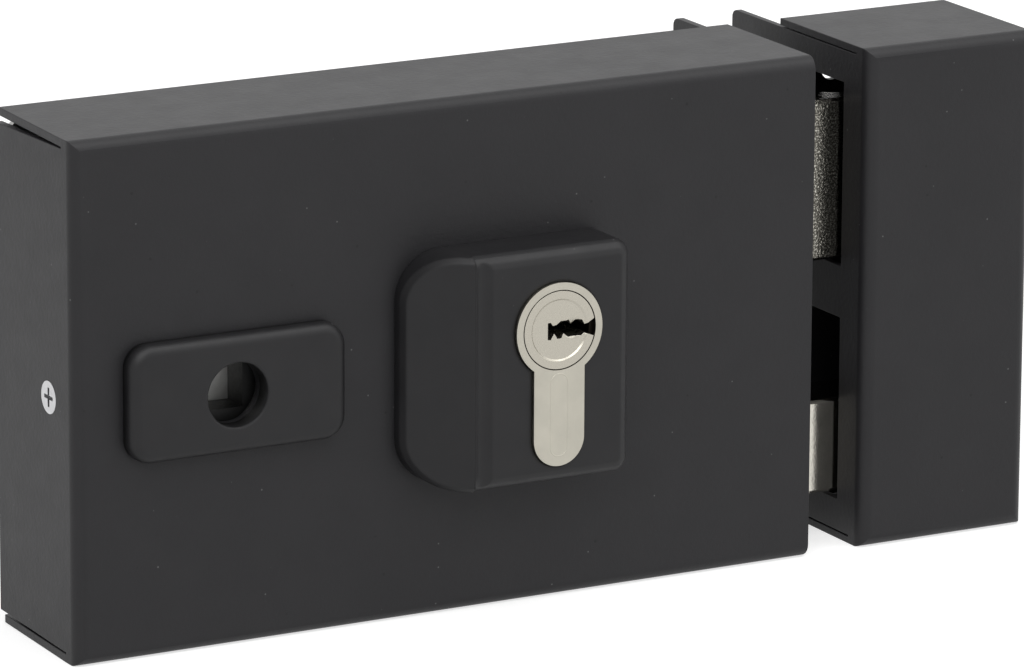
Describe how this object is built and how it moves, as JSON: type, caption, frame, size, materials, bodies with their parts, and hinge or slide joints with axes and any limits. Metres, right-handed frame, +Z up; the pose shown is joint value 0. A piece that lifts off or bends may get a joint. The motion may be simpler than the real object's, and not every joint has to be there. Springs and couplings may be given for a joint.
{
  "type": "rim lock",
  "caption": "Surface-mounted rim lock with a box strike: sprung latch, thrown deadbolt, double profile cylinder and square spindle, in a folded steel case.",
  "frame": {"origin": "middle of the whole part in plan, at the height of its underside", "axes": "+X along the case from the spindle to the bolts and the strike, +Y from the key side towards the door, +Z up"},
  "size_m": [0.192, 0.06, 0.0925],
  "materials": {
    "case_paint": "anthracite powder coat, semi-gloss, fine texture",
    "strike_paint": "anthracite powder coat, semi-gloss, fine texture",
    "guard_moulding": "black moulded guard, satin",
    "rose_moulding": "black moulded plate, satin",
    "zinc_plate": "zinc-plated steel, dull",
    "cylinder_nickel": "satin nickel, fine brushing",
    "plug_nickel": "turned nickel, polished",
    "bolt_nickel": "nickel-plated bar, polished",
    "latch_nickel": "nickel-plated casting, rough",
    "screw_steel": "blackened steel",
    "rivet_steel": "bright steel",
    "spring_steel": "spring steel, oiled",
    "cam_steel": "sintered steel",
    "brass": "turned brass",
    "follower_steel": "sintered steel, oiled",
    "spindle_steel": "bright zinc-plated bar"
  },
  "bodies": {
    "case": {"cover": "case_paint", "back_plate": "zinc_plate", "forend_plate": "case_paint", "cylinder_guard": "guard_moulding", "spindle_plate": "rose_moulding", "bolt_guide": "zinc_plate", "cover_lug": "zinc_plate", "cover_screw": "screw_steel", "cylinder_body": "cylinder_nickel", "cylinder_fixing_screw": "screw_steel", "chamber_stoppers": "brass", "driver_pins": "brass", "tumbler_springs": "spring_steel", "brake_spring": "spring_steel", "brake_shelf": "zinc_plate", "latch_spring": "spring_steel", "spring_bracket": "zinc_plate", "follower_bridge": "zinc_plate", "bridge_posts": "zinc_plate"},
    "deadbolt": {"deadbolt_head": "bolt_nickel", "deadbolt_tail": "zinc_plate", "deadbolt_rivets": "rivet_steel"},
    "latch": {"latch_head": "latch_nickel", "latch_tail": "zinc_plate", "latch_rivets": "rivet_steel", "latch_rod": "rivet_steel"},
    "key_side": {"plug_inner": "plug_nickel", "cylinder_cam": "cam_steel", "cam_clutch": "cam_steel"},
    "outer_plug": {"plug_outer": "plug_nickel"},
    "follower": {"follower_hub": "follower_steel", "spindle": "spindle_steel"},
    "strike": {"strike_box": "strike_paint", "strike_back": "strike_paint"}
  },
  "joints": [
    {"name": "deadbolt_slide", "type": "slide", "parent": "case", "child": "deadbolt", "axis": [1, 0, 0], "range_m": [-0.0195, 0]},
    {"name": "key_turn", "type": "hinge", "parent": "case", "child": "key_side", "pos_m": [-0.0082, 0.0001, 0.05215], "axis": [0, 1, 0], "range_deg": [-92.6, 0]},
    {"name": "latch_slide", "type": "slide", "parent": "case", "child": "latch", "axis": [1, 0, 0], "range_m": [-0.0155, 0], "stiffness_N_per_m": 400, "springref_m": 0.01, "deforming": ["latch_spring"]},
    {"name": "follower_turn", "type": "hinge", "parent": "case", "child": "follower", "pos_m": [-0.0666, 0.0007, 0.04585], "axis": [0, 1, 0], "range_deg": [-48.3, 0]},
    {"name": "outer_plug_turn", "type": "hinge", "parent": "case", "child": "outer_plug", "pos_m": [-0.0082, 0.0177, 0.05215], "axis": [0, 1, 0], "continuous": true},
    {"name": "strike_slide", "type": "slide", "parent": "case", "child": "strike", "axis": [1, 0, 0], "range_m": [-0.009, 0.03]}
  ],
  "couplings": [
    {"joint": "key_turn", "follows": "deadbolt_slide", "rad_per_m": 82.77},
    {"joint": "follower_turn", "follows": "latch_slide", "rad_per_m": 54.212}
  ]
}
